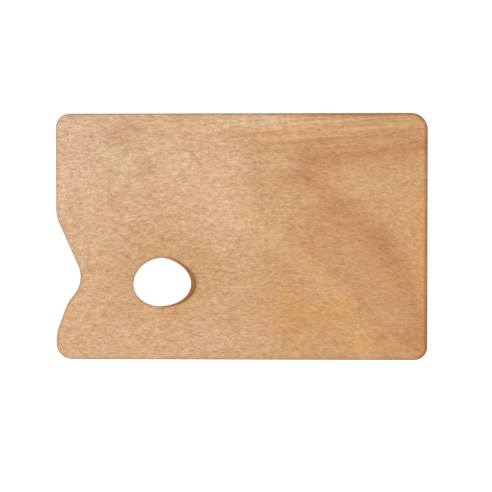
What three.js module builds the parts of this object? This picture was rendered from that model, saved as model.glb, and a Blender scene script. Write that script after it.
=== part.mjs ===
// A rectangular artist's mixing palette in 5 mm plywood: five veneers laid with their grain crossed,
// the four glue lines between them, a slanted thumb hole and a finger notch in the left edge.
// Millimetres. +X runs along the grain of the mixing face, +Z comes out of it, and the origin is
// under the middle of the board, on the surface that it lies on.
import * as THREE from "three";

// The board.
const boardLength = 300; // along X
const boardWidth = 199; // along Y
const faceThickness = 0.8; // the two sanded outer veneers
const crossbandThickness = 1.0; // the two veneers with their grain across the board
const coreThickness = 1.0; // the middle veneer
const glueThickness = 0.1; // a cured glue line
const arrisRadius = 1.5; // the outer edges, sanded round on both faces

// The four corners are rounded by hand, so no two are quite alike.
const frontLeftRadius = 13;
const frontRightRadius = 10.5;
const rearRightRadius = 13.5;
const rearLeftRadius = 11;

// The finger notch, from the front of the left edge to its rear: the edge leaves the side at the
// hip, is nearer the middle at the heel, nearest at the throat, and comes back at the shoulder.
// Each rise is measured along Y from the one before it, and each depth along X from the side.
const hipRise = 8.3; // from the end of the front left corner
const hipRadius = 34;
const heelRise = 24.1;
const heelDepth = 9;
const heelRadius = 28;
const throatRise = 18.6;
const throatDepth = 23;
const throatRadius = 22;
const shoulderRise = 52;
const shoulderRadius = 29;

// The thumb hole leans towards +X as it rises, so that the thumb lies along its right wall.
const holeLength = 50.3;
const holeWidth = 39.2;
const holeLean = 43; // degrees from upright
const holeArrisRadius = 0.5;
const holeLobe = 0.5; // its outline is a little three-cornered: how far each lobe stands out
const holeLobeAngle = -20; // degrees from +X to the first lobe
const gripWidth = 40; // the wood between the throat's depth and the clear way through the hole
const holeDrop = 1.8; // along Y, from the throat down to the middle of the hole

// Facets.
const arcStep = 7.5; // degrees of turn for each chord of the outline's arcs
const holeSides = 48;
const arrisSteps = 3;
const leastStep = 0.02; // a step of an arris closer than this to a layer's face is left out

// What the values above give.
const boardThickness = 2 * faceThickness + 2 * crossbandThickness + coreThickness + 4 * glueThickness;
const edgeRounding = Math.min(arrisRadius, boardThickness / 2);
const left = -boardLength / 2;
const right = boardLength / 2;
const front = -boardWidth / 2;
const rear = boardWidth / 2;
const hipY = front + frontLeftRadius + hipRise;
const heelY = hipY + heelRise;
const throatY = heelY + throatRise;
const shoulderY = throatY + shoulderRise;
const leanPerMillimetre = Math.tan(THREE.MathUtils.degToRad(holeLean));
const clearLength = holeLength - leanPerMillimetre * boardThickness; // of the straight way through
const holeX = left + throatDepth + gripWidth + clearLength / 2;
const holeY = throatY - holeDrop;

// The outline's corners in order, anticlockwise from above: where each is, and its radius.
const boardCorners = [
  { point: new THREE.Vector2(left, front), radius: frontLeftRadius },
  { point: new THREE.Vector2(right, front), radius: frontRightRadius },
  { point: new THREE.Vector2(right, rear), radius: rearRightRadius },
  { point: new THREE.Vector2(left, rear), radius: rearLeftRadius },
  { point: new THREE.Vector2(left, shoulderY), radius: shoulderRadius },
  { point: new THREE.Vector2(left + throatDepth, throatY), radius: throatRadius },
  { point: new THREE.Vector2(left + heelDepth, heelY), radius: heelRadius },
  { point: new THREE.Vector2(left, hipY), radius: hipRadius },
];

// Straight runs joined by arcs, moved inwards by inset. An arc keeps its centre and its number of
// chords whatever the inset, so that outlines at different heights can be joined point to point.
function roundedOutline(corners, inset) {
  const points = [];
  corners.forEach(({ point, radius }, i) => {
    const before = corners.at(i - 1).point;
    const after = corners[(i + 1) % corners.length].point;
    const arriving = point.clone().sub(before).normalize();
    const leaving = after.clone().sub(point).normalize();
    const turn = Math.asin(arriving.cross(leaving));
    const side = Math.sign(turn); // 1 on an outside corner, -1 on an inside one
    const inwardsBefore = new THREE.Vector2(-arriving.y, arriving.x);
    const inwardsAfter = new THREE.Vector2(-leaving.y, leaving.x);
    const toCentre = inwardsBefore
      .clone()
      .add(inwardsAfter)
      .divideScalar(1 + inwardsBefore.dot(inwardsAfter))
      .multiplyScalar(side * radius);
    const centre = point.clone().add(toCentre);
    const chords = Math.ceil(Math.abs(THREE.MathUtils.radToDeg(turn)) / arcStep);
    for (let k = 0; k <= chords; k += 1) {
      const spoke = inwardsBefore.clone().rotateAround(new THREE.Vector2(), (turn * k) / chords);
      points.push(centre.clone().addScaledVector(spoke, inset - side * radius));
    }
  });
  return points;
}

// How far a wall has drawn back at a height, where both faces are rounded to a radius.
function drawnBack(height, radius) {
  const intoRounding = Math.max(radius - height, height - (boardThickness - radius), 0);
  return radius - Math.sqrt(Math.max(radius ** 2 - intoRounding ** 2, 0));
}

// The board's edge at a height, anticlockwise from above.
function edgeOutline(height) {
  return roundedOutline(boardCorners, drawnBack(height, edgeRounding));
}

// The thumb hole at a height, clockwise from above: an ellipse with three soft lobes, carried along
// X by the lean.
function holeOutline(height) {
  const centreX = holeX + leanPerMillimetre * (height - boardThickness / 2);
  const worn = drawnBack(height, holeArrisRadius);
  const points = [];
  for (let k = 0; k < holeSides; k += 1) {
    const angle = (-2 * Math.PI * k) / holeSides;
    const lobe = holeLobe * Math.cos(3 * (angle - THREE.MathUtils.degToRad(holeLobeAngle)));
    points.push(
      new THREE.Vector2(
        centreX + (holeLength / 2 + lobe + worn) * Math.cos(angle),
        holeY + (holeWidth / 2 + lobe + worn) * Math.sin(angle),
      ),
    );
  }
  return points;
}

// The points of an outline at a height.
function ringAt(outline, height) {
  return outline(height).map((point) => new THREE.Vector3(point.x, point.y, height));
}

// The heights at which a layer's wall needs a ring: its two faces, and the steps between them of an
// arris of this radius.
function ringHeights(bottom, top, radius) {
  const steps = [];
  for (let k = 0; k < arrisSteps; k += 1) {
    const rise = radius * (1 - Math.sin((Math.PI / 2) * (k / arrisSteps)));
    steps.push(rise, boardThickness - rise);
  }
  const within = steps.filter((height) => height > bottom + leastStep && height < top - leastStep);
  return [bottom, ...within.sort((a, b) => a - b), top];
}

// One layer of the board as a closed solid: its edge, the wall of its thumb hole and two flat faces.
function layerGeometry(bottom, top) {
  const corners = [];

  // A wall faces to the right of the way that its outline runs, and the wood is on the left.
  const addWall = (outline, radius) => {
    const rings = ringHeights(bottom, top, radius).map((height) => ringAt(outline, height));
    for (let level = 1; level < rings.length; level += 1) {
      const lower = rings[level - 1];
      const upper = rings[level];
      for (let k = 0; k < lower.length; k += 1) {
        const next = (k + 1) % lower.length;
        corners.push(lower[k], lower[next], upper[next]);
        corners.push(lower[k], upper[next], upper[k]);
      }
    }
  };
  addWall(edgeOutline, edgeRounding);
  addWall(holeOutline, holeArrisRadius);

  const addFace = (height, isTop) => {
    const edge = ringAt(edgeOutline, height);
    const hole = ringAt(holeOutline, height);
    const points = [...edge, ...hole];
    THREE.ShapeUtils.triangulateShape(edge, [hole]).forEach(([a, b, c]) => {
      corners.push(points[a], isTop ? points[b] : points[c], isTop ? points[c] : points[b]);
    });
  };
  addFace(bottom, false);
  addFace(top, true);

  const geometry = new THREE.BufferGeometry().setFromPoints(corners);
  geometry.computeVertexNormals();
  return geometry;
}

// Finishes.
const faceWood = new THREE.MeshStandardMaterial({ color: 0xd5a97e, roughness: 0.55, metalness: 0 });
const crossWood = new THREE.MeshStandardMaterial({ color: 0xb07d4c, roughness: 0.7, metalness: 0 });
const coreWood = new THREE.MeshStandardMaterial({ color: 0xc4935f, roughness: 0.7, metalness: 0 });
const curedGlue = new THREE.MeshStandardMaterial({ color: 0x5e3a20, roughness: 0.45, metalness: 0 });

// The layers, from the underside up.
const layers = [
  { name: "back_veneer", thickness: faceThickness, material: faceWood },
  { name: "back_glue_line", thickness: glueThickness, material: curedGlue },
  { name: "lower_crossband", thickness: crossbandThickness, material: crossWood },
  { name: "lower_core_glue_line", thickness: glueThickness, material: curedGlue },
  { name: "core_veneer", thickness: coreThickness, material: coreWood },
  { name: "upper_core_glue_line", thickness: glueThickness, material: curedGlue },
  { name: "upper_crossband", thickness: crossbandThickness, material: crossWood },
  { name: "face_glue_line", thickness: glueThickness, material: curedGlue },
  { name: "face_veneer", thickness: faceThickness, material: faceWood },
];

const palette = new THREE.Group();
let laid = 0;
layers.forEach(({ name, thickness, material }) => {
  const mesh = new THREE.Mesh(layerGeometry(laid, laid + thickness), material);
  mesh.name = name;
  palette.add(mesh);
  laid += thickness;
});

export default palette;
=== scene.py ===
# %% [markdown]
# # A painter's mixing palette
#
# A mixing palette is a thin wooden board that a painter carries on one arm. The thumb goes up
# through a slanted hole, the fingers close round the notch in the left edge, and the paint is
# mixed on the bare face. This one is plywood: five veneers with their grain crossed, and four
# dark lines of glue between them.
#
# The solid model gives the sizes. Here every layer is made again as a fine mesh, so that curves
# are smooth close to, and each kind of layer gets its own wood or resin.

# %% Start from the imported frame
import math

import bpy
from mathutils import Matrix, Vector
from mathutils.bvhtree import BVHTree


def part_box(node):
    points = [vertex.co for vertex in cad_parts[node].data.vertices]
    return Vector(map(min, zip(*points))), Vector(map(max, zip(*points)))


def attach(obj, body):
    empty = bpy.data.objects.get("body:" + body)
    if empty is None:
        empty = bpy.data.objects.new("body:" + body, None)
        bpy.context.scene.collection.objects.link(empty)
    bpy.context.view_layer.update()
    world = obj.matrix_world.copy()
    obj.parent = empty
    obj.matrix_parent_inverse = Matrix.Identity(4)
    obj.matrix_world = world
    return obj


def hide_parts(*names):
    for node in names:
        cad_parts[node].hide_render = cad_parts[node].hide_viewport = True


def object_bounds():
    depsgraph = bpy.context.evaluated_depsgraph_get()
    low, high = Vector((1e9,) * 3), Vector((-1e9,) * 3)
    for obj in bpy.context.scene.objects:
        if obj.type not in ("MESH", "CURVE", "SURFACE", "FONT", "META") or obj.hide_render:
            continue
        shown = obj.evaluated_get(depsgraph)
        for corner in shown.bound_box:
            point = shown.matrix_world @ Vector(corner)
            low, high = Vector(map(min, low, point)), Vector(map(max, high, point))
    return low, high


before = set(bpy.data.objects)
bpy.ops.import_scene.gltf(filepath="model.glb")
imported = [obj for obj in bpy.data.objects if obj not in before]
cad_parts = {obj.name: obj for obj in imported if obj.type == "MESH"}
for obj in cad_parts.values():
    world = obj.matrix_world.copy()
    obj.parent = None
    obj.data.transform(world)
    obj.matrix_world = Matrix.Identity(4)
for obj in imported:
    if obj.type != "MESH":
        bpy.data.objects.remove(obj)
cad_low, cad_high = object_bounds()

MM = 0.001  # everything in the scene is in metres
print("board, mm:", [round(side / MM, 2) for side in cad_high - cad_low])

# %% [markdown]
# ## The sizes
#
# The board's own box and the height of each layer come from the frame. What a box can't say, such
# as the radius of a corner or the lean of the thumb hole, is written once here, under the name a
# maker would use. The finger notch is followed along the left edge from the front to the rear:
# the hip where the edge leaves the side, the heel, the throat that is nearest the middle, and the
# shoulder where it comes back.

# %% Sizes of the outline
board_left = cad_low.x
board_front = cad_low.y
board_right = cad_high.x
board_rear = cad_high.y
board_thickness = cad_high.z - cad_low.z

front_left_radius = 13 * MM
front_right_radius = 10.5 * MM
rear_right_radius = 13.5 * MM
rear_left_radius = 11 * MM

hip_rise = 8.3 * MM
hip_radius = 34 * MM
heel_rise = 24.1 * MM
heel_depth = 9 * MM
heel_radius = 28 * MM
throat_rise = 18.6 * MM
throat_depth = 23 * MM
throat_radius = 22 * MM
shoulder_rise = 52 * MM
shoulder_radius = 29 * MM

hip_y = board_front + front_left_radius + hip_rise
heel_y = hip_y + heel_rise
throat_y = heel_y + throat_rise
shoulder_y = throat_y + shoulder_rise

outline_corners = [  # x, y and radius, anticlockwise from above
    (board_left, board_front, front_left_radius),
    (board_right, board_front, front_right_radius),
    (board_right, board_rear, rear_right_radius),
    (board_left, board_rear, rear_left_radius),
    (board_left, shoulder_y, shoulder_radius),
    (board_left + throat_depth, throat_y, throat_radius),
    (board_left + heel_depth, heel_y, heel_radius),
    (board_left, hip_y, hip_radius),
]
print("outline corners:", len(outline_corners))

# %% Sizes of the thumb hole and the rounded edges
hole_length = 50.3 * MM
hole_width = 39.2 * MM
hole_lean = math.radians(43)  # from upright, towards +X as it rises
hole_lobe = 0.5 * MM  # how far its three soft lobes stand out
hole_lobe_angle = math.radians(-20)
grip_width = 40 * MM
hole_drop = 1.8 * MM

clear_length = hole_length - math.tan(hole_lean) * board_thickness
hole_x = board_left + throat_depth + grip_width + clear_length / 2
hole_y = throat_y - hole_drop

arris_radius = 1.5 * MM
arris_wobble = 0.1  # hand sanding makes the rounding a tenth wider or narrower
hole_arris_radius = 0.5 * MM
print("clear way for the thumb, mm:", round(clear_length / MM, 1), "x", round(hole_width / MM, 1))

# %% [markdown]
# ## Maths on node sockets
#
# Both the shape and the finishes are made with nodes. Wiring Math nodes by hand hides what a
# formula says, so a small class wraps a node's output: writing `1 - mask` on it adds the node that
# does the sum. A bench is the node tree that is being worked on, and its one method `node` makes
# any other node from its type, its settings, and the values or wires of its inputs.

# %% A bench for making nodes
def open_socket(sockets, wanted):
    """The wanted one of the sockets that a node has switched on, by its name or its number."""
    switched_on = [socket for socket in sockets if socket.enabled]
    if isinstance(wanted, int):
        return switched_on[wanted]
    return next(socket for socket in switched_on if socket.name == wanted)


class Bench:
    """A node tree that nodes are added to."""

    def __init__(self, tree):
        self.tree = tree

    def node(self, kind, settings, inputs, output=0):
        """Adds a node and gives its output as a wire. Stops are a ramp's places and colours."""
        added = self.tree.nodes.new(kind)
        for name, value in settings.items():
            if name == "stops":
                set_stops(added.color_ramp, value)
            else:
                setattr(added, name, value)
        for name, value in inputs.items():
            self.plug(value, open_socket(added.inputs, name))
        if len(added.outputs) == 0:
            return added
        return Wire(self, open_socket(added.outputs, output))

    def plug(self, value, socket):
        """Links a wire to a socket, or several to a socket that takes several, or sets a value."""
        for each in value if isinstance(value, list) else [value]:
            if isinstance(each, Wire):
                self.tree.links.new(each.socket, socket)
            else:
                socket.default_value = each

    def maths(self, operation, *values):
        """A sum on numbers."""
        return self.node("ShaderNodeMath", {"operation": operation}, dict(enumerate(values)))

    def vector(self, operation, *values):
        """A sum on whole vectors or colours."""
        return self.node("ShaderNodeVectorMath", {"operation": operation}, dict(enumerate(values)))

    def xyz(self, x, y, z):
        """A vector from three wires or numbers."""
        return self.node("ShaderNodeCombineXYZ", {}, {"X": x, "Y": y, "Z": z})

    def parts(self, vector):
        """The X, Y and Z of a vector, as three wires."""
        x = self.node("ShaderNodeSeparateXYZ", {}, {"Vector": vector}, "X")
        return x, x.out("Y"), x.out("Z")


def set_stops(ramp, stops):
    """Gives a colour ramp its stops, each a place from 0 to 1 and a colour."""
    while len(ramp.elements) < len(stops):
        ramp.elements.new(1.0)
    for element, (place, colour) in zip(ramp.elements, stops):
        element.position = place
        element.color = colour


# %% A wire that does sums
class Wire:
    """A node's output, on which sums are written as Python expressions."""

    def __init__(self, bench, socket):
        self.bench = bench
        self.socket = socket

    def out(self, name):
        """Another output of the same node."""
        return Wire(self.bench, open_socket(self.socket.node.outputs, name))

    def __add__(self, other):
        return self.bench.maths("ADD", self, other)

    def __radd__(self, other):
        return self.bench.maths("ADD", other, self)

    def __sub__(self, other):
        return self.bench.maths("SUBTRACT", self, other)

    def __rsub__(self, other):
        return self.bench.maths("SUBTRACT", other, self)

    def __mul__(self, other):
        return self.bench.maths("MULTIPLY", self, other)

    def __rmul__(self, other):
        return self.bench.maths("MULTIPLY", other, self)

    def __truediv__(self, other):
        return self.bench.maths("DIVIDE", self, other)

    def __pow__(self, other):
        return self.bench.maths("POWER", self, other)

    def __mod__(self, other):
        return self.bench.maths("MODULO", self, other)

    def above(self, other):
        """1 where this is greater than the other, and 0 elsewhere."""
        return self.bench.maths("GREATER_THAN", self, other)

    def at_least(self, other):
        return self.bench.maths("MAXIMUM", self, other)

    def at_most(self, other):
        return self.bench.maths("MINIMUM", self, other)

    def size(self):
        """The value without its sign."""
        return self.bench.maths("ABSOLUTE", self)

    def rise(self, low, high):
        """0 below low, 1 above high, and a soft step between them."""
        return self.bench.node(
            "ShaderNodeMapRange",
            {"interpolation_type": "SMOOTHSTEP"},
            {"Value": self, "From Min": low, "From Max": high},
        )


# %% [markdown]
# ## One tree for every veneer
#
# All nine layers follow one rule: the same outline and the same hole, cut through at different
# heights. So one Geometry Nodes tree makes them all. It takes the eight corners of the outline as
# a bare polygon, rounds each by its own radius, and lays points evenly along the result.
#
# A wall is an open cylinder whose columns are then moved onto those points, and whose rings go up
# through the layer. Where the board's edge is rounded, a ring is drawn inwards along a quarter
# circle. Rings are spaced by turn and not by height, so that the rounding is as fine at its flat
# end as at its steep one. One more ring lies flat on each face just inside the rim: it keeps the
# soft shading of the rounding from spreading over the big flat triangles of the face.

# %% The veneer tree's inputs
veneer_inputs = [
    ("Outline", "NodeSocketGeometry"),
    ("Bottom", "NodeSocketFloat"),
    ("Top", "NodeSocketFloat"),
    ("Board thickness", "NodeSocketFloat"),
    ("Arris radius", "NodeSocketFloat"),
    ("Arris wobble", "NodeSocketFloat"),
    ("Hole x", "NodeSocketFloat"),
    ("Hole y", "NodeSocketFloat"),
    ("Hole length", "NodeSocketFloat"),
    ("Hole width", "NodeSocketFloat"),
    ("Hole lean", "NodeSocketFloat"),
    ("Hole lobe", "NodeSocketFloat"),
    ("Hole lobe angle", "NodeSocketFloat"),
    ("Hole arris radius", "NodeSocketFloat"),
    ("Corner chords", "NodeSocketInt"),
    ("Edge points", "NodeSocketInt"),
    ("Hole points", "NodeSocketInt"),
    ("Rings", "NodeSocketInt"),
    ("Rim", "NodeSocketFloat"),
    ("Material", "NodeSocketMaterial"),
]
veneer_tree = bpy.data.node_groups.new("veneer", "GeometryNodeTree")
for name, kind in veneer_inputs:
    veneer_tree.interface.new_socket(name, in_out="INPUT", socket_type=kind)
veneer_tree.interface.new_socket("Layer", in_out="OUTPUT", socket_type="NodeSocketGeometry")
sheet = Bench(veneer_tree)
given = sheet.node("NodeGroupInput", {}, {})
print("inputs of the veneer tree:", len(veneer_inputs))

# %% [markdown]
# The first part of the tree turns the corners into the board's outline, and says how the edge is
# rounded. A quarter circle of radius r has its middle r inside the board. At a height z the wall
# stands back by r less the half chord there, and where the edge is upright it doesn't stand back.

# %% The outline, and the rounding of an edge
polygon = sheet.node("GeometryNodeMeshToCurve", {}, {"Mesh": given.out("Outline")})
corner_radius = sheet.node(
    "GeometryNodeInputNamedAttribute", {"data_type": "FLOAT"}, {"Name": "corner_radius"}
)
rounded = sheet.node(
    "GeometryNodeFilletCurve",
    {"mode": "POLY"},
    {"Curve": polygon, "Count": given.out("Corner chords"), "Radius": corner_radius},
)
outline = sheet.node(
    "GeometryNodeResampleCurve",
    {"mode": "COUNT"},
    {"Curve": rounded, "Count": given.out("Edge points")},
)
index = sheet.node("GeometryNodeInputIndex", {}, {})
here = sheet.node("GeometryNodeInputPosition", {}, {})


def round_middle(height, radius):
    """The height of the middle of the rounding, which follows the height where the edge is upright."""
    return height.at_least(radius).at_most(given.out("Board thickness") - radius)


def set_back(height, radius):
    """How far the edge stands back at a height."""
    into_rounding = height - round_middle(height, radius)
    return radius - (radius * radius - into_rounding * into_rounding).at_least(0.0) ** 0.5


def turn_at(height, radius):
    """How far round the quarter circle a height is, in radians: 0 where the edge is upright."""
    sine = (height - round_middle(height, radius)) / radius
    return sheet.maths("ARCSINE", sine.at_most(1.0).at_least(-1.0))


def ring_height(share, radius):
    """The height of a ring that is some share of the way up the layer, spaced by turn."""
    low = given.out("Bottom")
    high = given.out("Top")
    low_middle = round_middle(low, radius)
    low_turn = turn_at(low, radius)
    middle = low_middle + share * (round_middle(high, radius) - low_middle)
    turn = low_turn + share * (turn_at(high, radius) - low_turn)
    return middle + radius * sheet.maths("SINE", turn)


# %% [markdown]
# Now the two kinds of point. A point of the board's edge is found by its column number on the
# outline, and moved inwards by how far the edge stands back. Sanding by hand takes a little more
# here and a little less there, so slow noise along the outline widens and narrows the rounding.
#
# A point of the thumb hole needs no outline to look up, because an ellipse has a formula. Three
# soft lobes push it out, as a spokeshave leaves it, and the lean carries it along X as it rises.

# %% Points of the edge and points of the hole
def sampled(value, data_type, column):
    """A value of the outline at a column."""
    return sheet.node(
        "GeometryNodeSampleIndex",
        {"data_type": data_type, "domain": "POINT"},
        {"Geometry": outline, "Value": value, "Index": column},
    )


sanding_length = 28 * MM


def edge_radius(spot):
    """The radius of the rounding at a spot on the outline."""
    noise = sheet.node(
        "ShaderNodeTexNoise",
        {"noise_dimensions": "3D"},
        {"Vector": spot, "Scale": 1 / sanding_length, "Detail": 1.0},
    )
    return given.out("Arris radius") * (1 + (noise - 0.5) * 2 * given.out("Arris wobble"))


def edge_point(column, share, rim):
    """Where a point of the board's edge goes. Rim is how much further in a rim's ring lies."""
    spot = sampled(here, "FLOAT_VECTOR", column)
    tangent = sampled(sheet.node("GeometryNodeInputTangent", {}, {}), "FLOAT_VECTOR", column)
    outwards = sheet.vector("CROSS_PRODUCT", tangent, (0.0, 0.0, 1.0))
    radius = edge_radius(spot)
    height = ring_height(share, radius)
    inwards = sheet.vector("SCALE", outwards, 0 - set_back(height, radius) - rim)
    moved = sheet.vector("ADD", spot, inwards)
    return sheet.vector("ADD", moved, sheet.xyz(0.0, 0.0, height))


def hole_point(column, share, rim):
    """Where a point of the thumb hole's wall goes."""
    radius = given.out("Hole arris radius")
    height = ring_height(share, radius)
    angle = column * (2 * math.pi) / given.out("Hole points")
    lobe_turn = 3 * (angle - given.out("Hole lobe angle"))
    lobe = given.out("Hole lobe") * sheet.maths("COSINE", lobe_turn)
    out_by = lobe + set_back(height, radius) + rim
    above_middle = height - given.out("Board thickness") / 2
    middle_x = given.out("Hole x") + sheet.maths("TANGENT", given.out("Hole lean")) * above_middle
    x = middle_x + (given.out("Hole length") / 2 + out_by) * sheet.maths("COSINE", angle)
    y = given.out("Hole y") + (given.out("Hole width") / 2 + out_by) * sheet.maths("SINE", angle)
    return sheet.xyz(x, y, height)


# %% [markdown]
# A wall is an open cylinder one unit high. A point's number gives its column, and its height gives
# its ring. The first and last rings are the flat ones inside the rims. A wall also carries a value
# that is 1 on the cut itself and fades to 0 at the flat ring, for the wood's material to read. The
# material darkens the cut by it: partly as oil drunk by the cut fibres, partly as painted shade.

# %% The two walls
_, _, here_z = sheet.parts(here)


def wall(points, place_point):
    """An open wall: a cylinder whose columns and rings are put in place by a function."""
    steps = given.out("Rings") + 2
    cylinder = sheet.node(
        "GeometryNodeMeshCylinder",
        {"fill_type": "NONE"},
        {"Vertices": points, "Side Segments": steps, "Radius": 1.0, "Depth": 1.0},
    )
    step = (here_z + 0.5) * steps
    on_rim = (1 - step.above(0.5)) + step.above(steps - 0.5)
    share = ((step - 1) / given.out("Rings")).at_least(0.0).at_most(1.0)
    spot = place_point(index % points, share, on_rim * given.out("Rim"))
    placed = sheet.node("GeometryNodeSetPosition", {}, {"Geometry": cylinder, "Position": spot})
    return sheet.node(
        "GeometryNodeStoreNamedAttribute",
        {"data_type": "FLOAT", "domain": "POINT"},
        {"Geometry": placed, "Name": "soak", "Value": 1 - on_rim},
    )


edge_wall = wall(given.out("Edge points"), edge_point)
hole_wall = sheet.node(
    "GeometryNodeFlipFaces", {}, {"Mesh": wall(given.out("Hole points"), hole_point)}
)


# %% [markdown]
# A face is the space between two closed curves. Fill Curve leaves the inner one open, and works
# in the plane, so the face is lifted to its height afterwards. Filled curves face upwards, and the
# underside is turned over.

# %% The two faces
def loop(points, place_point, share):
    """A closed curve round a rim, just inside it."""
    circle = sheet.node("GeometryNodeCurvePrimitiveCircle", {}, {"Resolution": points}, "Curve")
    spot = place_point(index, share, given.out("Rim"))
    return sheet.node("GeometryNodeSetPosition", {}, {"Geometry": circle, "Position": spot})


def face(share, height):
    """The flat face at the bottom (share 0) or the top (share 1) of the layer."""
    rims = [
        loop(given.out("Edge points"), edge_point, share),
        loop(given.out("Hole points"), hole_point, share),
    ]
    both = sheet.node("GeometryNodeJoinGeometry", {}, {"Geometry": rims})
    filled = sheet.node("GeometryNodeFillCurve", {"mode": "TRIANGLES"}, {"Curve": both})
    return sheet.node(
        "GeometryNodeSetPosition", {}, {"Geometry": filled, "Offset": sheet.xyz(0.0, 0.0, height)}
    )


underside = sheet.node("GeometryNodeFlipFaces", {}, {"Mesh": face(0, given.out("Bottom"))})
upper_side = face(1, given.out("Top"))

# %% [markdown]
# The four parts are joined and their matching points merged, which closes the layer. An edge is
# left sharp only where two faces meet at a real corner. The tree ends by making everything real
# and giving it its material.

# %% Close the layer
same_point = 0.002 * MM
sharp_turn = math.radians(30)

joined = sheet.node(
    "GeometryNodeJoinGeometry", {}, {"Geometry": [edge_wall, hole_wall, underside, upper_side]}
)
closed = sheet.node("GeometryNodeMergeByDistance", {}, {"Geometry": joined, "Distance": same_point})
soft = sheet.node(
    "GeometryNodeSetShadeSmooth", {"domain": "FACE"}, {"Geometry": closed, "Shade Smooth": True}
)
turn_between = sheet.node("GeometryNodeInputMeshEdgeAngle", {}, {})
crisp = sheet.node(
    "GeometryNodeSetShadeSmooth",
    {"domain": "EDGE"},
    {"Geometry": soft, "Selection": turn_between.above(sharp_turn), "Shade Smooth": False},
)
real = sheet.node("GeometryNodeRealizeInstances", {}, {"Geometry": crisp})
finished = sheet.node(
    "GeometryNodeSetMaterial", {}, {"Geometry": real, "Material": given.out("Material")}
)
sheet.node("NodeGroupOutput", {}, {"Layer": finished})
print("nodes in the veneer tree:", len(veneer_tree.nodes))

# %% [markdown]
# ## Colours and patterns of wood
#
# Wood is mostly the same few patterns at different sizes: slow drifts of colour as wide as a hand,
# short ropey strokes where the grain weaves in and out of the sheet, and pores as fine dark
# dashes. All of them are noise that is stretched along the grain. The next cells give small tools
# for that. They read Object coordinates turned into millimetres, so a pattern's size can be read
# straight off the numbers.

# %% Colours
def colour(red, green, blue):
    """A colour as it looks on screen, 0 to 255, in the light values that Blender mixes."""

    def light(value):
        share = value / 255
        return share / 12.92 if share <= 0.04045 else ((share + 0.055) / 1.055) ** 2.4

    return (light(red), light(green), light(blue), 1.0)


class Finish(Bench):
    """The node tree of one material, with the coordinates that its patterns read."""

    def __init__(self, name):
        self.material = bpy.data.materials.new(name)
        self.material.use_nodes = True
        super().__init__(self.material.node_tree)
        self.tree.nodes.clear()
        coordinates = self.node("ShaderNodeTexCoord", {}, {}, "Object")
        self.spot = self.vector("SCALE", coordinates, 1 / MM)  # in millimetres
        self.x, self.y, _ = self.parts(self.spot)
        self.normal = coordinates.out("Normal")

    def noise(self, spot, size, detail=2.0, roughness=0.5):
        """Noise from 0 to 1 whose blotches have about this size in mm along each axis."""
        stretched = self.node(
            "ShaderNodeMapping", {}, {"Vector": spot, "Scale": tuple(1 / side for side in size)}
        )
        return self.node(
            "ShaderNodeTexNoise",
            {},
            {"Vector": stretched, "Scale": 1.0, "Detail": detail, "Roughness": roughness},
        )

    def drift(self, spot, size, reach):
        """The spot moved about by slow noise, so that what is drawn there wanders."""
        wander = self.noise(spot, size).out("Color")
        centred = self.vector("SUBTRACT", wander, (0.5, 0.5, 0.5))
        return self.vector("ADD", spot, self.vector("MULTIPLY", centred, reach))

    def oval(self, spot, centre, half_size, turn=0.0):
        """A soft oval in the plane of the board: 1 at its centre and 0 outside it."""
        placed = self.node(
            "ShaderNodeMapping",
            {"vector_type": "TEXTURE"},
            {
                "Vector": spot,
                "Location": (*centre, 0.0),
                "Rotation": (0.0, 0.0, math.radians(turn)),
                "Scale": (*half_size, 1000.0),
            },
        )
        fall = self.node(
            "ShaderNodeTexGradient", {"gradient_type": "SPHERICAL"}, {"Vector": placed}, "Fac"
        )
        return fall.rise(0.0, 1.0)

    def mix(self, share, first, second):
        """A colour that is some share of the second and the rest of the first."""
        return self.node(
            "ShaderNodeMix", {"data_type": "RGBA"}, {"Factor": share, "A": first, "B": second}
        )

    def tone(self, base, amount, depth):
        """The base colour made lighter or darker. Depth says how much of each light it takes."""
        change = self.vector("MULTIPLY", amount, depth)
        return self.vector("MULTIPLY", base, self.vector("ADD", change, (1.0, 1.0, 1.0)))

    def ramp(self, place, stops):
        """A colour that changes along stops, each a place from 0 to 1 and a colour."""
        return self.node("ShaderNodeValToRGB", {"stops": stops}, {"Fac": place}, "Color")

    def done(self, base, roughness, height, depth, gloss=0.35):
        """Ends the material. Depth is how deep in metres the bump's height from 0 to 1 is."""
        bump = self.node("ShaderNodeBump", {}, {"Strength": 1.0, "Distance": depth, "Height": height})
        shader = self.node(
            "ShaderNodeBsdfPrincipled",
            {},
            {
                "Base Color": base,
                "Roughness": roughness,
                "Normal": bump,
                "IOR": 1.45,
                "Specular IOR Level": gloss,
            },
        )
        self.node("ShaderNodeOutputMaterial", {}, {"Surface": shader})
        return self.material


# %% [markdown]
# ## The face veneer
#
# The mixing face is one rotary-cut sheet, peeled off a turning log. Its colour drifts from a pale
# pinkish tan at the notch to golden orange at the far end, where a reddish arch of growth rings
# opens towards the right edge. Over that lie the ropey strokes of interlocked grain, a few light
# streaks near the rear edge, and fine pores.
#
# The slow drift is a pair of colour ramps along the board, one for its rear and one for its front,
# mixed across the board.

# %% Slow colour of the face
rear_tan = [
    (0.0, colour(217, 180, 147)),
    (0.35, colour(215, 174, 134)),
    (0.6, colour(212, 167, 125)),
    (1.0, colour(204, 154, 108)),
]
front_tan = [
    (0.0, colour(213, 168, 127)),
    (0.4, colour(210, 165, 122)),
    (0.65, colour(206, 158, 112)),
    (1.0, colour(200, 148, 98)),
]
slow_wander = ((70.0, 45.0, 45.0), (40.0, 30.0, 0.0))  # size and reach of the noise that bends it


def slow_colour(finish):
    """The colour of the face before its figure and its grain."""
    x, y, _ = finish.parts(finish.drift(finish.spot, *slow_wander))
    along = (x - board_left / MM) / ((board_right - board_left) / MM)
    across = y.rise(board_front / MM, board_rear / MM)
    return finish.mix(across, finish.ramp(along, front_tan), finish.ramp(along, rear_tan))


print("stops of slow colour:", len(rear_tan) + len(front_tan))

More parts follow.
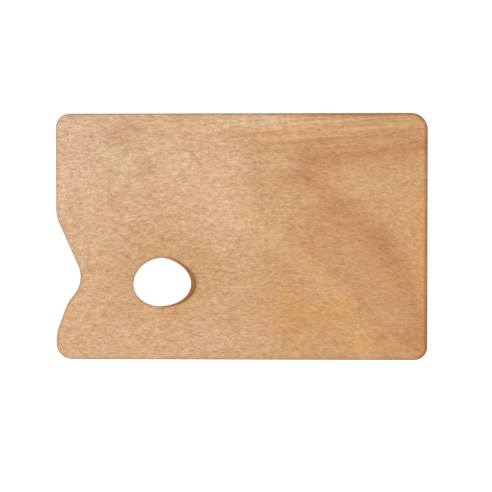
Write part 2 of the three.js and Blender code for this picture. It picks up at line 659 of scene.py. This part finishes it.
# %% [markdown]
# A peeling knife that cuts across a bump in the log leaves nested arches, one for each year's
# growth. Here they open towards the right edge. One limb runs nearly along the board, and the
# other falls away to the front right corner, with a blunt nose between them. Each of the three
# gives a spot a distance: how far it is outside that part of the red band, counted so that the
# next pale band is at 10. The greatest of them, rounded where they meet, is the same all along an
# arch, and a colour ramp turns it into bands.

# %% The shape of the arches
# Every length is in millimetres. A spacing is a tenth of the way to the pale band.
along_board = (1.0, 0.0, 0.0)
upper_limb = (-0.08, 1.0, 0.0)  # across the limb that runs along the board
upper_limb_height = 60.5
upper_spacing = 1.75
inside_share = 0.5  # inside the red band the upper limb's rings are twice as wide
across_fall = (0.8, 0.6, 0.0)  # across the limb that falls away, and along it
along_fall = (0.6, -0.8, 0.0)
fall_spacing = 5.3
red_reach = 87.0  # along across_fall, where the red band bows out most
least_red_reach = 69.0
red_bow = 0.0034
red_bow_middle = 85.0  # along along_fall
nose_x = 52.0
nose_spacing = 6.7
arch_rounding = 3.0
broad_ragged = ((30.0, 16.0, 16.0), (12.0, 5.0, 0.0))  # size and reach of noise that bends them
small_ragged = ((9.0, 4.0, 4.0), (5.0, 2.5, 0.0))


def arch_place(finish):
    """How far out a spot is in the nested arches, and how far above the upper limb it is."""
    ragged = finish.drift(finish.spot, *broad_ragged)
    ragged = finish.drift(ragged, *small_ragged)

    def reach(direction):
        return finish.node(
            "ShaderNodeVectorMath", {"operation": "DOT_PRODUCT"}, {0: ragged, 1: direction}, "Value"
        )

    above = (reach(upper_limb) - upper_limb_height) / upper_spacing
    from_middle = reach(along_fall) - red_bow_middle
    red_here = (red_reach - red_bow * from_middle * from_middle).at_least(least_red_reach)
    left_of = (red_here - reach(across_fall)) / fall_spacing
    behind = (nose_x - reach(along_board)) / nose_spacing
    slower_inside = above.at_least(above * inside_share)
    nose = finish.maths("SMOOTH_MAX", behind, slower_inside, arch_rounding)
    return finish.maths("SMOOTH_MAX", nose, left_of, arch_rounding), above


# %% The colours of the arches
bands_inside = 7.0  # the ramp runs from this far inside the red band
bands_outside = 17.0  # to this far outside it
outer_fade = 6.0  # the last of it fades into the wood around
arches_fade_in = (-30.0, 10.0)  # along X, in millimetres
arch_bands = [
    (0.0, colour(211, 163, 115)),
    (0.13, colour(209, 161, 113)),
    (0.22, colour(203, 151, 103)),
    (0.29, colour(196, 140, 92)),
    (0.34, colour(200, 146, 98)),
    (0.43, colour(204, 153, 104)),
    (0.51, colour(205, 155, 106)),
    (0.6, colour(201, 150, 104)),
    (0.65, colour(206, 157, 106)),
    (0.71, colour(214, 166, 113)),
    (0.8, colour(208, 159, 111)),
    (1.0, colour(206, 158, 112)),
]


def arched(finish, base):
    """The base colour with the nested arches in it, and how far a spot is above the upper limb."""
    outwards, above = arch_place(finish)
    place = (outwards + bands_inside) / (bands_inside + bands_outside)
    share = (bands_outside - outwards).rise(0.0, outer_fade) * finish.x.rise(*arches_fade_in)
    return finish.mix(share, base, finish.ramp(place, arch_bands)), above


print("stops from the heart of the arches outwards:", len(arch_bands))

# %% [markdown]
# What is left follows no rule. Clouds are wide places that are redder, paler, pinker or more golden
# than the wood around them. Marks are small: two dark flecks, a scratch, and single pale and dark
# lines towards the rear edge. Each is a soft oval of another colour. The clouds are read at a
# ragged spot, so that they don't look like ovals, and the marks are read where they are.

# %% Clouds and marks
red_brown = colour(188, 124, 78)
tan = colour(201, 152, 104)
pale_tan = colour(225, 186, 148)
gold = colour(209, 152, 84)
orange = colour(216, 158, 100)
pink = colour(222, 181, 155)
fleck_brown = colour(112, 74, 52)

clouds = [  # tint, centre and half size in millimetres, turn in degrees, and strength
    (red_brown, (114.0, -6.0), (22.0, 14.0), -50.0, 0.55),
    (red_brown, (134.0, -84.0), (20.0, 20.0), -60.0, 0.5),
    (red_brown, (142.0, 76.0), (26.0, 8.0), 0.0, 0.3),
    (red_brown, (-93.0, 84.0), (24.0, 16.0), 0.0, 0.35),
    (red_brown, (-78.0, 52.0), (12.0, 18.0), 0.0, 0.25),
    (red_brown, (-104.0, 28.0), (14.0, 12.0), 0.0, 0.25),
    (tan, (-62.0, -22.0), (76.0, 56.0), 0.0, 0.7),
    (tan, (-66.0, 30.0), (24.0, 16.0), 0.0, 0.25),
    (tan, (-102.0, -52.0), (22.0, 20.0), 0.0, 0.3),
    (tan, (-28.0, -36.0), (26.0, 26.0), 0.0, 0.3),
    (tan, (32.0, -34.0), (34.0, 34.0), -30.0, 0.35),
    (gold, (80.0, -60.0), (30.0, 20.0), 0.0, 0.5),
    (gold, (45.0, -66.0), (34.0, 30.0), -20.0, 0.65),
    (gold, (100.0, -86.0), (50.0, 12.0), 0.0, 0.4),
    (gold, (-58.0, -62.0), (40.0, 10.0), 0.0, 0.3),
    (orange, (148.0, 0.0), (22.0, 96.0), 0.0, 0.7),
    (pink, (-134.0, 56.0), (34.0, 52.0), 0.0, 0.35),
    (pink, (-18.0, -82.0), (52.0, 18.0), 0.0, 0.25),
    (pink, (24.0, -88.0), (16.0, 10.0), 0.0, 0.25),
    (pale_tan, (94.0, 40.0), (28.0, 16.0), -15.0, 0.2),
    (pale_tan, (-10.0, 28.0), (46.0, 66.0), 15.0, 0.6),
    (pale_tan, (33.0, 60.0), (22.0, 22.0), 0.0, 0.45),
    (pale_tan, (30.0, 6.0), (24.0, 24.0), 0.0, 0.35),
    (pale_tan, (44.0, 32.0), (44.0, 18.0), 0.0, 0.3),
    (pale_tan, (14.0, 92.0), (60.0, 14.0), 0.0, 0.8),
    (pink, (0.0, 62.0), (26.0, 22.0), 0.0, 0.5),
    (pale_tan, (-52.0, 56.0), (30.0, 40.0), 0.0, 0.3),
]
marks = [
    (fleck_brown, (-140.5, 82.7), (0.8, 2.2), 3.0, 0.8),
    (fleck_brown, (-140.1, 78.6), (0.8, 1.6), -6.0, 0.7),
    (fleck_brown, (-127.5, -94.8), (7.0, 0.7), -32.0, 0.35),
    (pale_tan, (84.0, 86.5), (34.0, 1.6), 5.0, 0.4),
    (pale_tan, (112.0, 91.0), (22.0, 1.2), 6.0, 0.3),
    (fleck_brown, (20.0, 84.0), (28.0, 0.9), 4.0, 0.3),
    (fleck_brown, (12.0, 59.5), (24.0, 0.8), 2.0, 0.25),
    (pale_tan, (30.0, 58.0), (26.0, 1.2), 2.0, 0.4),
]


def washed(finish, base, spot, ovals):
    """The base colour with soft ovals of other colours laid over it."""
    for tint, centre, half_size, turn, strength in ovals:
        base = finish.mix(finish.oval(spot, centre, half_size, turn) * strength, base, tint)
    return base


print("clouds:", len(clouds), "marks:", len(marks))

# %% [markdown]
# Outside the upper limb of the arches, towards the rear edge, the rings are cut nearly flat and
# show as long light and dark streaks. They are noise that is stretched a long way along the
# board, turned a few degrees, and bent a little.

# %% Streaks near the rear edge
streak_turn = math.radians(-4)  # they rise towards the right
streak_size = (80.0, 2.4, 2.4)
streak_wander = ((40.0, 14.0, 14.0), (0.0, 3.0, 0.0))  # size and reach
streaks_fade_in = (-3.0, 8.0)  # above the upper limb, counted as the arches are
streaks_fade_in_along = (-60.0, 20.0)  # along X, in millimetres
streak_depth = (0.55, 0.8, 1.1)


def streaked(finish, base, above):
    """The base colour with light and dark streaks above the upper limb."""
    level = finish.node(
        "ShaderNodeMapping", {}, {"Vector": finish.spot, "Rotation": (0.0, 0.0, streak_turn)}
    )
    level = finish.drift(level, *streak_wander)
    streaks = finish.noise(level, streak_size, 3.0) - 0.5
    share = above.rise(*streaks_fade_in) * finish.x.rise(*streaks_fade_in_along)
    return finish.tone(base, streaks * share, streak_depth)


# %% [markdown]
# The quick grain is three sizes of stretched noise. The spot they read is shaken sideways by a
# middling noise first, which tilts each stroke a little up or down and makes them look woven. The
# pores are thin slices of a finer noise: only where it is lowest does a dash show.

# %% Grain of a veneer
weave_size = (7.5, 6.0)  # sizes are in millimetres, along the grain and across it
weave_along = 2.0  # how far the weave shakes a spot each way
weave_across = 3.4
broad_size = (14.0, 6.0)
stroke_size = (4.7, 1.8)
fine_size = (2.4, 0.5)
broad_share = 0.45
stroke_share = 1.75
fine_share = 1.35
pore_size = (3.8, 0.22)
pore_slice = (0.4, 0.24)  # a pore begins where its noise falls below the first, and is full at the last
pore_patch_size = (12.0, 3.0)
pore_patches = (0.3, 0.7)


def grain(finish, spot, turned=False):
    """Strokes about 0, light above and dark below, and pores from 0 to 1. Turned, it runs along Y."""

    def laid(size):
        along, across = size
        return (across, along, across) if turned else (along, across, across)

    def noise(size, *settings):
        return finish.noise(woven, laid(size), *settings)

    if turned:
        sway = (weave_across, weave_along, weave_along)
    else:
        sway = (weave_along, weave_across, weave_along)
    woven = finish.drift(spot, laid(weave_size), sway)
    broad = noise(broad_size, 1.0) - 0.5
    strokes = noise(stroke_size, 3.0, 0.6) - 0.5
    fine = noise(fine_size, 2.0) - 0.5
    ropey = broad * broad_share + strokes * stroke_share + fine * fine_share
    dashes = noise(pore_size, 1.0).rise(*pore_slice)
    patchy = noise(pore_patch_size, 1.0).rise(*pore_patches)
    return ropey, dashes * (0.3 + 0.7 * patchy)


def grained(level, strokes, pores):
    """A roughness about a level: the grain's light strokes and its pores are rougher."""
    return level + strokes * 0.2 + pores * 0.15


# %% [markdown]
# Cut edges get stain and painted shade. Every cut edge is painted a little grey, as shade on its
# rounding. The far end, the rear edge and the side of the hole that the thumb lies on are darker:
# partly oil drunk by the cut fibres, partly painted shade. A steep cut, such as the slanted wall of the
# hole, is browner still.

# %% Stained and shaded edges
# Places and half sizes are in millimetres. Oil is how much a place is darkened, from 0 to 1: partly oil
# drunk by the cut, partly painted shade.
hole_ring = (42.0, 36.0)  # half size of an oval that takes in the hole's edge all round
thumb_rest = (14.0, 24.0)  # half size of the place where the thumb lies
thumb_rest_offset = 28.0  # from the hole's middle, along X
hole_oil_and_shade = 0.1
thumb_oil_and_shade = 0.5
far_end_fades_in = (138.0, 146.0)  # along X
far_end_oil_and_shade = 0.75
far_end_less_grey = 0.7  # the far end is greyed less by this share
rear_fades_in = (88.0, 96.0)  # along Y
rear_fades_in_along = (-60.0, 90.0)  # along X
rear_oil_and_shade = 0.55
cut_fades_in = (0.5, 1.1)  # of the value on the cut that a wall carries
steep_fades_in = (0.0, 0.14)  # of how far a surface is from lying flat
# How the painted shade greys every cut edge.
edge_shade_depth = (-0.16, -0.1, -0.07)
# How oil stain and painted shade darken the cut at the far end, the rear edge and the hole.
soaked_and_shaded_depth = (-0.37, -0.6, -0.95)
# The brown of steep surfaces: partly end-grain stain, partly painted shade.
end_stain_and_shade = colour(150, 90, 42)
stain_and_shade_share = 0.5  # of a steep cut's colour, and how much more of it there is in the hole
more_in_hole = 0.45


def edge_stain_and_shade(finish, base):
    """Greys cut edges with painted shade, darkens the far end, rear and hole with oil and painted
    shade, and browns steep ones.
    """
    middle_x = hole_x / MM
    middle_y = hole_y / MM
    by_hole = finish.oval(finish.spot, (middle_x, middle_y), hole_ring).rise(0.0, 0.02)
    by_thumb = finish.oval(finish.spot, (middle_x + thumb_rest_offset, middle_y), thumb_rest)
    far_end = finish.x.rise(*far_end_fades_in)
    rear = finish.y.rise(*rear_fades_in) * finish.x.rise(*rear_fades_in_along)
    oil_and_shade = (far_end_oil_and_shade * far_end).at_least(rear_oil_and_shade * rear)
    oil_and_shade = oil_and_shade.at_least(hole_oil_and_shade * by_hole).at_least(thumb_oil_and_shade * by_thumb)
    soak = finish.node("ShaderNodeAttribute", {"attribute_name": "soak"}, {}, "Fac")
    cut = soak.rise(*cut_fades_in)
    # Every cut edge is greyed a little: painted shade on its rounding, weaker at the far end.
    base = finish.tone(base, cut * (1 - far_end_less_grey * far_end), edge_shade_depth)
    # Cut edges at the far end, the rear and the hole darken more: partly oil stain, partly painted
    # shade on edges that face away from the lamp and in the hole.
    base = finish.tone(base, cut * oil_and_shade, soaked_and_shaded_depth)
    # Surfaces that turn from lying flat are browned, most of all in the hole: partly end-grain stain,
    # partly painted shade.
    _, _, level = finish.parts(finish.normal)
    steep = (1 - level.size()).rise(*steep_fades_in)
    return finish.mix(steep * (stain_and_shade_share + more_in_hole * by_hole), base, end_stain_and_shade)


# %% [markdown]
# The face is laid up in this order: the slow colour of the log, the arches, clouds and streaks,
# small patches of hue, the grain and its pores, the flecks and the scratch, and last the edges'
# stain and painted shade. On the falling limb of the arches the strokes lean down to the right, so
# there the spot that the grain reads is slid along Y.

# %% The face veneer's material
lean_slide = 20.0  # places and sizes are in millimetres
lean_grows = (20.0, 150.0)  # along X
lean_fades = (-40.0, 70.0)  # along Y
cloud_ragged = ((18.0, 10.0, 10.0), (18.0, 10.0, 0.0))  # size and reach
patch_size = (10.0, 7.5, 7.5)
patch_depth = (-0.04, 0.14, 0.34)  # some places are pinker, and some more golden
stroke_depth = (0.5, 0.66, 0.86)
strokes_fade = (-60.0, 110.0)  # along X: the grain is quieter towards the far end
stroke_strength = 1.05
stroke_loss = 0.25
pore_depth = (-0.2, -0.28, -0.36)
stroke_height = 0.03 * MM


def leaning(finish):
    """The spot slid along Y, so that strokes lean down to the right on the arches' falling limb."""
    slide = finish.x.rise(*lean_grows) * lean_slide * (1 - finish.y.rise(*lean_fades))
    return finish.vector("ADD", finish.spot, finish.xyz(0.0, slide, 0.0))


def face_wood():
    """The mixing face, with all its figure."""
    finish = Finish("face_veneer_wood")
    strokes, pores = grain(finish, leaning(finish))
    base, above = arched(finish, slow_colour(finish))
    base = washed(finish, base, finish.drift(finish.spot, *cloud_ragged), clouds)
    base = streaked(finish, base, above)
    base = finish.tone(base, finish.noise(finish.spot, patch_size) - 0.5, patch_depth)
    strength = stroke_strength - stroke_loss * finish.x.rise(*strokes_fade)
    base = finish.tone(base, strokes * strength, stroke_depth)
    base = finish.tone(base, pores, pore_depth)
    base = washed(finish, base, finish.spot, marks)
    # The cut edges get their stain and painted shade.
    base = edge_stain_and_shade(finish, base)
    relief = strokes * 0.7 - pores * 0.6
    return finish.done(base, grained(0.52, strokes, pores), relief, stroke_height)


face_material = face_wood()
print("nodes in the face veneer's material:", len(face_material.node_tree.nodes))

# %% [markdown]
# ## The other layers
#
# The back is the same wood, from a plainer part of the log. The crossbands are a redder, coarser
# veneer whose grain runs across the board: on the long edges of the board it shows as end grain,
# and on the short ones as stripes. The core is a paler filler veneer. The glue is a hard brown
# resin, with bubbles and starved places where it soaked into the wood.

# %% The back veneer
further_along = (410.0, 230.0, 0.0)  # the back comes from another part of the log
back_figure = (120.0, 28.0, 28.0)
back_tan = [
    (0.3, colour(196, 150, 108)),
    (0.5, colour(206, 163, 122)),
    (0.7, colour(214, 174, 134)),
]


def back_wood():
    """The underside, plainer than the face."""
    finish = Finish("back_veneer_wood")
    spot = finish.vector("ADD", finish.spot, further_along)
    strokes, pores = grain(finish, spot)
    base = finish.ramp(finish.noise(spot, back_figure, 3.0), back_tan)
    base = finish.tone(base, strokes, stroke_depth)
    base = finish.tone(base, pores, pore_depth)
    # The cut edges get their stain and painted shade.
    base = edge_stain_and_shade(finish, base)
    relief = strokes * 0.7 - pores * 0.6
    return finish.done(base, grained(0.6, strokes, pores), relief, stroke_height)


# %% The crossbands and the core
inner_figure = (18.0, 18.0, 1.5)
coarse_pore_depth = (-0.4, -0.5, -0.55)
coarse_height = 0.06 * MM


def inner_wood(name, dark, light, turned):
    """A veneer inside the board, seen only where its edge is cut. Turned, its grain runs along Y."""
    finish = Finish(name)
    strokes, pores = grain(finish, finish.spot, turned)
    base = finish.ramp(finish.noise(finish.spot, inner_figure), [(0.3, dark), (0.7, light)])
    base = finish.tone(base, strokes, stroke_depth)
    base = finish.tone(base, pores, coarse_pore_depth)
    relief = strokes * 0.6 - pores
    return finish.done(base, grained(0.66, strokes, pores), relief, coarse_height, 0.25)


# %% The glue, and the materials of the other layers
starved_size = (9.0, 9.0, 0.6)
bubble_size = (0.7, 0.7, 0.2)
bubble_depth = (0.5, 0.4, 0.3)
resin_brown = [(0.35, colour(84, 50, 28)), (0.65, colour(122, 80, 48))]
glue_height = 0.03 * MM


def glue():
    """Cured glue, seen as a thin dark line between two veneers."""
    finish = Finish("cured_glue_resin")
    starved = finish.noise(finish.spot, starved_size, 3.0)
    bubbles = finish.noise(finish.spot, bubble_size, 1.0).rise(0.6, 0.72)
    base = finish.tone(finish.ramp(starved, resin_brown), bubbles, bubble_depth)
    return finish.done(base, 0.42 + starved * 0.2, starved * 0.5 - bubbles, glue_height)


back_material = back_wood()
crossband_material = inner_wood(
    "crossband_veneer_wood", colour(138, 86, 38), colour(170, 112, 56), turned=True
)
core_material = inner_wood(
    "core_veneer_wood", colour(146, 94, 46), colour(176, 120, 66), turned=False
)
glue_material = glue()
for material in (back_material, crossband_material, core_material, glue_material):
    print(material.name, "nodes:", len(material.node_tree.nodes))

# %% [markdown]
# ## Making the layers
#
# The tree's inputs are set on a modifier, and the shape that it gives is copied out as a plain
# mesh. The polygon that goes in has eight points and carries each corner's radius. The height of
# each layer is read off its solid in the frame.

# %% Make a layer
corner_chords = 24
edge_points = 960
hole_points = 240
outer_rings = 10
inner_rings = 4
rim_width = 2.5 * MM


def corner_polygon():
    """The eight sharp corners of the outline as a closed line, each with its radius."""
    count = len(outline_corners)
    mesh = bpy.data.meshes.new("corners")
    points = [(x, y, 0.0) for x, y, _ in outline_corners]
    mesh.from_pydata(points, [(k, (k + 1) % count) for k in range(count)], [])
    radii = mesh.attributes.new("corner_radius", "FLOAT", "POINT")
    for k, (_, _, radius) in enumerate(outline_corners):
        radii.data[k].value = radius
    return mesh


def make_layer(node, name, rings, material):
    """A fine closed mesh of one layer of the board, between the heights of its solid."""
    low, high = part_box(node)
    pattern = bpy.data.objects.new("pattern", corner_polygon())
    bpy.context.scene.collection.objects.link(pattern)
    modifier = pattern.modifiers.new("veneer", "NODES")
    modifier.node_group = veneer_tree
    values = {
        "Bottom": low[2],
        "Top": high[2],
        "Board thickness": board_thickness,
        "Arris radius": arris_radius,
        "Arris wobble": arris_wobble,
        "Hole x": hole_x,
        "Hole y": hole_y,
        "Hole length": hole_length,
        "Hole width": hole_width,
        "Hole lean": hole_lean,
        "Hole lobe": hole_lobe,
        "Hole lobe angle": hole_lobe_angle,
        "Hole arris radius": hole_arris_radius,
        "Corner chords": corner_chords,
        "Edge points": edge_points,
        "Hole points": hole_points,
        "Rings": rings,
        "Rim": rim_width,
        "Material": material,
    }
    for item in veneer_tree.interface.items_tree:
        if item.in_out == "INPUT" and item.name in values:
            modifier[item.identifier] = values[item.name]
    depsgraph = bpy.context.evaluated_depsgraph_get()
    mesh = bpy.data.meshes.new_from_object(pattern.evaluated_get(depsgraph), depsgraph=depsgraph)
    bpy.data.objects.remove(pattern)
    mesh.name = name
    piece = bpy.data.objects.new(name, mesh)
    bpy.context.scene.collection.objects.link(piece)
    print(name, "faces:", len(mesh.polygons))
    return piece


# %% The nine layers, from the underside up
layers = [  # solid in the frame, piece, rings, material, slot
    ("back_veneer", "back_sheet", outer_rings, back_material, "face_wood"),
    ("back_glue_line", "back_glue", inner_rings, glue_material, "cured_glue"),
    ("lower_crossband", "lower_cross_sheet", inner_rings, crossband_material, "crossband_wood"),
    ("lower_core_glue_line", "lower_core_glue", inner_rings, glue_material, "cured_glue"),
    ("core_veneer", "core_sheet", inner_rings, core_material, "core_wood"),
    ("upper_core_glue_line", "upper_core_glue", inner_rings, glue_material, "cured_glue"),
    ("upper_crossband", "upper_cross_sheet", inner_rings, crossband_material, "crossband_wood"),
    ("face_glue_line", "face_glue", inner_rings, glue_material, "cured_glue"),
    ("face_veneer", "face_sheet", outer_rings, face_material, "face_wood"),
]
made = []
for node, name, rings, material, slot in layers:
    piece = make_layer(node, name, rings, material)
    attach(piece, "root")
    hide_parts(node)
    made.append((node, piece))

# %% [markdown]
# A fine mesh that stands for a solid has to lie where the solid is. Each corner of each solid is
# measured to the nearest point of the piece that replaces it. What is left is the hand-sanded
# wobble of the rounding.

# %% How far the solids' corners are from the fine meshes
for node, piece in made:
    depsgraph = bpy.context.evaluated_depsgraph_get()
    fine = BVHTree.FromObject(piece, depsgraph)
    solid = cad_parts[node]
    away = max(fine.find_nearest(vertex.co)[3] for vertex in solid.data.vertices)
    print(piece.name, "furthest corner, mm:", round(away / MM, 3))

# %% [markdown]
# ## Floor, light and camera
#
# The board lies on a plain white floor under soft studio light: an even white sky and one large
# lamp from the front left, so that the far edges turn a little darker. The floor glows slightly,
# which keeps it clean white right up to the wood. It can be seen through from below, and lies a
# hair under the board, so that the underside can be looked at as well.

# %% The floor
floor_gap = 0.15 * MM
floor_half = 3.0  # metres
floor_glow = 0.6

floor_mesh = bpy.data.meshes.new("floor")
floor_mesh.from_pydata(
    [(x * floor_half, y * floor_half, -floor_gap) for x, y in ((-1, -1), (1, -1), (1, 1), (-1, 1))],
    [],
    [(0, 1, 2, 3)],
)
floor = bpy.data.objects.new("floor", floor_mesh)
bpy.context.scene.collection.objects.link(floor)

floor_finish = Finish("studio_floor")
white_paint = floor_finish.node(
    "ShaderNodeBsdfPrincipled",
    {},
    {
        "Base Color": (0.85, 0.85, 0.85, 1.0),
        "Roughness": 0.9,
        "Emission Color": (1.0, 1.0, 1.0, 1.0),
        "Emission Strength": floor_glow,
    },
)
from_below = floor_finish.node("ShaderNodeNewGeometry", {}, {}, "Backfacing")
clear = floor_finish.node("ShaderNodeBsdfTransparent", {}, {})
one_sided = floor_finish.node("ShaderNodeMixShader", {}, {0: from_below, 1: white_paint, 2: clear})
floor_finish.node("ShaderNodeOutputMaterial", {}, {"Surface": one_sided})
floor_mesh.materials.append(floor_finish.material)
print("floor, m across:", 2 * floor_half)

# %% The light
sky_strength = 0.76
lamp_power = 15.5
lamp_size = 1.6
lamp_place = Vector((-0.9, -0.9, 1.6))

world = bpy.data.worlds.new("studio")
world.use_nodes = True
world.node_tree.nodes["Background"].inputs["Color"].default_value = (1.0, 1.0, 1.0, 1.0)
world.node_tree.nodes["Background"].inputs["Strength"].default_value = sky_strength
bpy.context.scene.world = world

lamp_data = bpy.data.lights.new("soft_lamp", "AREA")
lamp_data.shape = "SQUARE"
lamp_data.size = lamp_size
lamp_data.energy = lamp_power
lamp = bpy.data.objects.new("soft_lamp", lamp_data)
lamp.location = lamp_place
lamp.rotation_euler = (-lamp_place).to_track_quat("-Z", "Y").to_euler()
bpy.context.scene.collection.objects.link(lamp)

bpy.context.scene.view_settings.view_transform = "Standard"
print("lamp, m from the board:", round(lamp_place.length, 2))

# %% [markdown]
# The camera looks almost straight down from about a metre up. A camera's own axes are made from
# two directions: where it looks from, and which way is up in its picture.

# %% The camera
camera_place = Vector((32.0, 10.5, 1005.0)) * MM
camera_target = Vector((4.0, -7.5, 5.0)) * MM
up_in_picture = Vector((0.0, 1.0, 0.0))

backwards = (camera_place - camera_target).normalized()
sideways = up_in_picture.cross(backwards).normalized()
upwards = backwards.cross(sideways)
turned = Matrix((sideways, upwards, backwards)).transposed()

camera_data = bpy.data.cameras.new("camera")
camera_data.sensor_width = 36.0
camera_data.lens = 90.8
camera_data.clip_start = 0.05
camera_data.clip_end = 20.0
camera = bpy.data.objects.new("camera", camera_data)
camera.matrix_world = Matrix.Translation(camera_place) @ turned.to_4x4()
bpy.context.scene.collection.objects.link(camera)
bpy.context.scene.camera = camera
print("camera, mm from its target:", round((camera_place - camera_target).length / MM))
